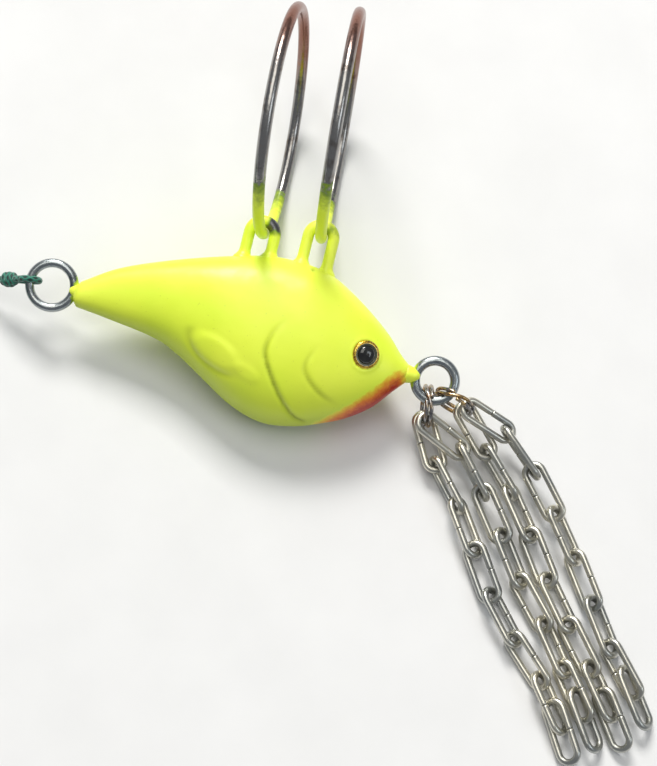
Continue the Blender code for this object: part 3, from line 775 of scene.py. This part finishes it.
def eyelet(name, centre, top):
    """A staple under thick paint, pooled round its two feet and chipped near its top, with painted
    shade under the top of its arch.
    """
    half = EYELET_SPREAD / 2
    arch_height = top - EYELET_WIRE / 2 - half
    surface = float(outline_at(BACK, centre))
    foot = surface - 2.5
    leg = list(np.linspace(foot, arch_height, 26))[:-1]
    path = [(centre - half, y) for y in leg]
    path += [(centre + half * math.cos(a), arch_height + half * math.sin(a))
             for a in np.linspace(math.pi, 0, 33)]
    path += [(centre + half, y) for y in reversed(leg)]
    radii = []
    for x, y in path:
        above = max(y - float(outline_at(BACK, x)), -0.6)
        radii.append((EYELET_WIRE / 2 + 0.9 * math.exp(-((above + 0.6) / 0.9) ** 2)) * MM)

    def masks(rings):
        local = to_fish(rings)
        lean = (local[..., 0] - centre) / half
        high = smoothstep(local[..., 1], top - 4.6, top - 1.2)
        chip = high * smoothstep(lean, -0.1, 0.7) * (1.0 if name == "rear" else 0.5)
        # Painted shade: the paint is drawn thinner and darker under the top of the arch, where the
        # ring passes.
        under = smoothstep(-local[..., 1], -(top - 1.2), -(top - 2.2))
        seat = np.exp(-((lean / 0.55) ** 2)) * under
        return {"paint": 1.15 - 1.0 * chip - 0.5 * seat}

    piece = tube(f"{name}_staple", [fish(x, y) for x, y in path], radii, 20, LOOKS["staple"],
                 False, masks)
    stand_for(piece, "root", "chartreuse_paint", f"{name}_eyelet")


def line_ring(name, centre, top):
    node = f"{name}_line_ring"
    middle, (right, up, _) = box_axes(node)
    mean = (LINE_RING_OUTER - LINE_RING_WIRE) / 2 * MM
    turns = 2 * np.pi * np.arange(240) / 240
    path = middle + mean * (np.cos(turns)[:, None] * right + np.sin(turns)[:, None] * up)
    seat = np.array(fish(centre, top - EYELET_WIRE - LINE_RING_WIRE / 2))

    def masks(rings):
        away = np.linalg.norm(rings - seat, axis=2) / MM
        return {
            "paint": 1.2 * (1 - smoothstep(away, 8.0, 27.0)),
            "browned": smoothstep(away, 34.0, 42.0),
        }

    ring = tube(f"{name}_ring_wire", path, LINE_RING_WIRE / 2 * MM, 24, LOOKS["ring"], True, masks)
    stand_for(ring, f"{name}_ring", "line_ring_steel", node)


def split_ring_frame(name):
    """A split ring's frame: origin at its middle, X towards its chains, Z along its own axis."""
    seat_angle, heading, fall = SPLIT_RINGS[name]
    eye_centre, eye_outer, eye_wire = NOSE_EYE
    eye_mean = (eye_outer - eye_wire) / 2
    seat = fish(eye_centre + eye_mean * math.cos(seat_angle), eye_mean * math.sin(seat_angle))
    level = Vector((math.cos(heading), math.sin(heading), 0))
    reach = ((SPLIT_OUTER - eye_wire) / 2 - SPLIT_WIRE - CLEARANCE) * MM
    middle = seat + reach * (level * math.cos(fall) - Vector((0, 0, math.sin(fall))))
    axis = level.cross(Vector((0, 0, 1))).normalized()
    turned_axes = Matrix((level, axis.cross(level), axis)).transposed().to_4x4()
    return Matrix.Translation(middle) @ turned_axes


def split_ring(name):
    """Two flat turns of thin wire, joined by the step between them."""
    mean = (SPLIT_OUTER - SPLIT_WIRE) / 2
    place = split_ring_frame(name)
    steps = 190
    path = []
    for k in range(steps + 1):
        turn = 2 * k / steps
        share = float(smoothstep(np.float64(turn), *SPLIT_STEP))
        a = SPLIT_START + 2 * math.pi * turn * SPLIT_CLOSED
        local = Vector((mean * math.cos(a), mean * math.sin(a), SPLIT_PITCH * (share - 0.5)))
        path.append(place @ (local * MM))
    radii = np.full(len(path), SPLIT_WIRE / 2 * MM)
    radii[0] = radii[-1] = 0.8 * SPLIT_WIRE / 2 * MM
    ring = tube(f"split_ring_{name}_wire", path, radii, 14, LOOKS["split"])
    stand_for(ring, f"split_ring_{name}", "split_ring_steel", f"split_ring_{name}")


def link_path():
    """One link in its own plane, in millimetres: points, wire shares and grime."""
    half_width = (LINK_WIDTH - LINK_DRAWN) / 2
    bow = (LINK_LENGTH - LINK_DRAWN) / 2 - half_width
    points, shares = [], []
    for a in np.linspace(-math.pi / 2, math.pi / 2, 19):
        points.append((bow + half_width * math.cos(a), half_width * math.sin(a)))
        shares.append(1.0)
    # The wire's two ends meet in the middle of this side, with a fine groove between them.
    for x, share in ((2.4, 1.0), (1.2, 1.0), (0.5, 1.0), (0.26, 1.04), (0.14, 1.0), (0.07, 0.80),
                     (-0.07, 0.80), (-0.14, 0.97), (-0.26, 1.0), (-0.5, 1.0), (-1.2, 1.0),
                     (-2.4, 1.0)):
        points.append((x, half_width))
        shares.append(share)
    for a in np.linspace(math.pi / 2, 3 * math.pi / 2, 19):
        points.append((-bow + half_width * math.cos(a), half_width * math.sin(a)))
        shares.append(1.0)
    for x in (-2.4, -1.2, 0, 1.2, 2.4):
        points.append((x, -half_width))
        shares.append(1.0)
    return np.array(points), np.array(shares)


def chain_link(node, chance):
    """A link in its CAD node's place. The seam turns up on either side, as links do in a pile."""
    middle, (ahead, across, _) = box_axes(node)
    flip = chance.choice((-1, 1))
    points, shares = link_path()
    path = middle + MM * (points[:, :1] * ahead + points[:, 1:] * across * flip)
    bow_centre = (LINK_LENGTH - LINK_WIDTH) / 2 * MM

    def masks(rings):
        local = rings - middle
        end = np.abs(local @ ahead)
        beyond = np.maximum(end - bow_centre, 0)
        inner = np.hypot(beyond, local @ across)
        # Painted shade: the insides of the bows, where the next link lies, and the seam groove.
        bow = smoothstep(end, bow_centre * 0.9, bow_centre * 1.3)
        inside = 1 - smoothstep(inner, 1.1 * MM, 1.8 * MM)
        seam = np.broadcast_to((shares < 0.95)[:, None], end.shape)
        return {"bow_seam_shade": np.clip(bow * inside + seam, 0, 1)}

    radii = shares * LINK_DRAWN / 2 * MM
    link = tube(f"{node}_wire", path, radii, 16, LOOKS["chain"], True, masks)
    stand_for(link, node, "chain_steel", node)


def chains():
    chance = random.Random(7)
    for c in range(1, 5):
        for i in range(1, 9):
            chain_link(f"chain_{c}_link_{i}", chance)


# ---------------------------------------------------------------- pull cord


def waist(angle):
    """How much of its full section the coil keeps at this angle: the tie draws it in."""
    away = math.remainder(angle - TIE_ANGLE, 2 * math.pi)
    return 1 - COIL_WAIST * math.exp(-((away / COIL_WAIST_REACH) ** 2))


def rounded_square(angle):
    """A point of the coil's section at this angle round it, reaching 1 to each side."""
    c, s = math.cos(angle), math.sin(angle)
    across = math.copysign(abs(c) ** COIL_ROUNDING, c)
    up = math.copysign(abs(s) ** COIL_ROUNDING, s)
    return across, up


def coil_seats():
    """(radius, height) of each turn, row by row from the floor, there and back across."""
    reach = COIL_HALF - CORD / 2 - 0.05
    fullness = 2 / COIL_ROUNDING
    rows = int(2 * reach / ROW_HEIGHT) + 1
    seats = []
    for row in range(rows):
        y = -reach + row * 2 * reach / (rows - 1)
        width = reach * (1 - min(abs(y) / (reach * 1.03), 1) ** fullness) ** (1 / fullness)
        count = int(2 * width / TURN_SPACING) + 1
        spots = np.linspace(-width, width, count)
        if row % 2 == 0:
            spots = spots[::-1]
        seats += [(COIL_MEAN / 2 + spot, y + COIL_HALF) for spot in spots]
    return seats


def coil_route():
    """The wound cord from where the lead reaches it to where the tail comes down outside."""
    seats = coil_seats()
    points = []
    for k in range(LEAD_IN_STEPS, len(seats) * TURN_POINTS):
        turn, share = divmod(k / TURN_POINTS, 1)
        r0, z0 = seats[int(turn)]
        r1, z1 = seats[min(int(turn) + 1, len(seats) - 1)]
        angle = COIL_START + 2 * math.pi * k / TURN_POINTS
        size = waist(angle)
        r = COIL_MEAN / 2 + (r0 + (r1 - r0) * share - COIL_MEAN / 2) * size
        z = COIL_HALF + (z0 + (z1 - z0) * share - COIL_HALF) * size
        points.append(COIL_CENTRE + Vector((r * math.cos(angle), r * math.sin(angle), z)))
    return points, seats[0], seats[-1]


def come_down(last_seat):
    """From the top turn over the outer edge and down the coil's side to the floor."""
    stops = ((100, last_seat[0], last_seat[1]), (124, 21.6, 16.6), (150, 24.6, 15.6),
             (176, 26.7, 12.6), (200, 27.1, 8.6), (224, 27.1, 4.6), (246, 27.1, 1.8))
    return [COIL_CENTRE + Vector((r * math.cos(math.radians(a)), r * math.sin(math.radians(a)), z))
            for a, r, z in stops]


def cord_path():
    lead = smooth_curve(CORD_ROUTE, 4)
    wound, first_seat, last_seat = coil_route()
    inward = []
    for k in range(1, LEAD_IN_STEPS):
        share = float(smoothstep(np.float64(k), 0, LEAD_IN_STEPS))
        angle = COIL_START + 2 * math.pi * k / TURN_POINTS
        r = LEAD_IN_RADIUS + (first_seat[0] - LEAD_IN_RADIUS) * share
        spot = Vector((r * math.cos(angle), r * math.sin(angle), LEAD_IN_HEIGHT))
        inward.append(COIL_CENTRE + spot)
    tail = [Vector(p) for p in CORD_TAIL_ROUTE]
    down = smooth_curve([wound[-1], *come_down(last_seat), *tail], 4)
    return [p * MM for p in [*lead, *inward, *wound, *down[1:]]]


def braided(name, path, radius, sides, closed=False):
    """A tube of cord with UVs that count strand crossings along it and go round it once."""
    obj = tube(name, path, radius, sides, LOOKS["cord"], closed)
    mesh = obj.data
    lengths = [0.0]
    for before, after in zip(path, [*path[1:], path[0]]):
        lengths.append(lengths[-1] + (Vector(after) - Vector(before)).length)
    pitch = 1.5 * MM
    layer = mesh.uv_layers.new(name="braid")
    count = len(path)
    for face in mesh.polygons:
        wraps = {v % sides for v in face.vertices} == {0, sides - 1}
        ends = {v // sides for v in face.vertices} == {0, count - 1} and closed
        for corner, vertex in zip(face.loop_indices, face.vertices):
            station, k = divmod(vertex, sides)
            if ends and station == 0:
                station = count
            if wraps and k == 0:
                k = sides
            layer.data[corner].uv = (lengths[station] / pitch, k / sides)
    return obj


def wrapped_knot(name, start, end, node):
    """A barrel knot: the cord wound round itself between two points."""
    along = (end - start).normalized()
    across = along.orthogonal().normalized()
    up = along.cross(across)
    strand = 0.58 * MM
    wraps, steps = 3.2, 78
    length = (end - start).length - 2 * strand
    path = []
    for k in range(steps + 1):
        share = k / steps
        a = 2 * math.pi * wraps * share
        pull = math.sin(math.pi * share) ** 0.35
        radius = (0.35 + 0.6 * pull) * MM
        middle = start + along * (strand + length * share)
        path.append(middle + radius * (math.cos(a) * across + math.sin(a) * up))
    knot = braided(name, path, strand, 14)
    stand_for(knot, "root", "cord_green", node)
    core = braided(f"{name}_core", [start, start.lerp(end, 0.5), end], 0.62 * MM, 12)
    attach(core, "root")
    return [knot, core]


def cord_loop(knot_start):
    """The bight of cord round the wire of the tail eye, its two legs drawn into the knot."""
    centre, outer, wire = TAIL_EYE
    middle = fish(centre - (outer - wire) / 2, 0)
    toward = (knot_start - middle).normalized()
    along_wire = (fish_frame().to_3x3() @ Vector((0, 1, 0))).normalized()
    across = toward.cross(along_wire).normalized()
    radius = (wire / 2 + CORD / 2 + 0.12) * MM
    opening = math.radians(52)
    path = [knot_start + toward * 0.5 * MM + across * 0.45 * MM]
    for k in range(25):
        a = opening + (2 * math.pi - 2 * opening) * k / 24
        path.append(middle + radius * (math.cos(a) * toward + math.sin(a) * across))
    path.append(knot_start + toward * 0.5 * MM - across * 0.45 * MM)
    path = smooth_curve(path, 3)
    loop = braided("cord_bight", path, CORD / 2 * 0.92 * MM, 14)
    stand_for(loop, "root", "cord_green", "cord_loop")
    return loop


def coil_band():
    """The black tie: a flat strap drawn round the coil."""
    out = Vector((math.cos(TIE_ANGLE), math.sin(TIE_ANGLE), 0))
    along = Vector((-out.y, out.x, 0))
    middle = out * COIL_MEAN / 2 + Vector((0, 0, COIL_HALF)) + COIL_CENTRE
    size = COIL_HALF * waist(TIE_ANGLE) + STRAP_STAND_OFF
    section = ((-2.1, -0.22), (-2.25, 0), (-2.1, 0.22), (0, 0.27), (2.1, 0.22), (2.25, 0),
               (2.1, -0.22), (0, -0.27))
    steps = 72
    loops = []
    for k in range(steps):
        across, up = rounded_square(2 * math.pi * (k + 0.5) / steps)
        loop = []
        for wide, thick in section:
            reach = size + thick
            point = middle + across * reach * out + Vector((0, 0, up * reach)) + wide * along
            loop.append(tuple(point * MM))
        loops.append(loop)
    band = make_piece("coil_strap", loops, grid_faces(steps, len(section), True), LOOKS["tie"])
    stand_for(band, "root", "tie_black", "coil_tie")
    return band


def pull_cord():
    route = [Vector(p) * MM for p in CORD_ROUTE]
    centre, outer, wire = TAIL_EYE
    toward = (route[0] - fish(centre - (outer - wire) / 2, 0)).normalized()
    start = route[0] - toward * (KNOT_LENGTH + CLEARANCE) * MM
    pieces = wrapped_knot("cord_knot_wraps", start, route[0] - toward * CLEARANCE * MM, "cord_knot")
    pieces.append(cord_loop(start))
    pieces.append(coil_band())
    path = cord_path()
    ahead = (path[-1] - path[-2]).normalized()
    lift = Vector((0, 0, 0.9 * MM))
    begin = path[-1] + ahead * CLEARANCE * MM + lift
    pieces += wrapped_knot("end_knot_wraps", begin, begin + ahead * KNOT_LENGTH * MM, "end_knot")
    cord = braided("pull_cord", path, CORD / 2 * MM, 8)
    stand_for(cord, "root", "cord_green", "cord_lead", "cord_coil", "cord_tail")


# ---------------------------------------------------------------- the whole scene


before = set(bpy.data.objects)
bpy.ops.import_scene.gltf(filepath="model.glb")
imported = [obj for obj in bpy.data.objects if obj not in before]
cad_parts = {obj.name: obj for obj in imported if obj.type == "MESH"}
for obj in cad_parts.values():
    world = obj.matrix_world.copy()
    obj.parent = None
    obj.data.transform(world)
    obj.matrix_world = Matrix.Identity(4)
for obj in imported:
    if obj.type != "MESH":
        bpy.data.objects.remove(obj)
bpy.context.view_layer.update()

make_camera()
make_studio()

LOOKS = {
    "paint": paint_look(),
    "eye": painted_steel_look("eye_wire_steel", (0.33, 0.36, 0.37),
                              ((0.14, 0.16, 0.17), (0.55, 0.55, 0.52)), 0.27),
    "staple": painted_steel_look("staple_paint", (0.16, 0.16, 0.17),
                                 ((0.10, 0.12, 0.13), (0.35, 0.28, 0.30)), 0.35),
    "ring": painted_steel_look("line_ring_steel", (0.33, 0.32, 0.31),
                               ((0.13, 0.10, 0.08), (0.46, 0.28, 0.17)), 0.24, True),
    "split": split_ring_look(),
    "chain": chain_look(),
    "iris": iris_look(),
    "pupil": pupil_look(),
    "cord": cord_look(),
    "tie": tie_look(),
}

pull_cord()
fish_body()
fish_eyes()
wire_eye("tail_eye", *TAIL_EYE, 1)
wire_eye("nose_eye", *NOSE_EYE, -1)
for name, centre, top in EYELETS:
    eyelet(name, centre, top)
    line_ring(name, centre, top)
for name in SPLIT_RINGS:
    split_ring(name)
chains()
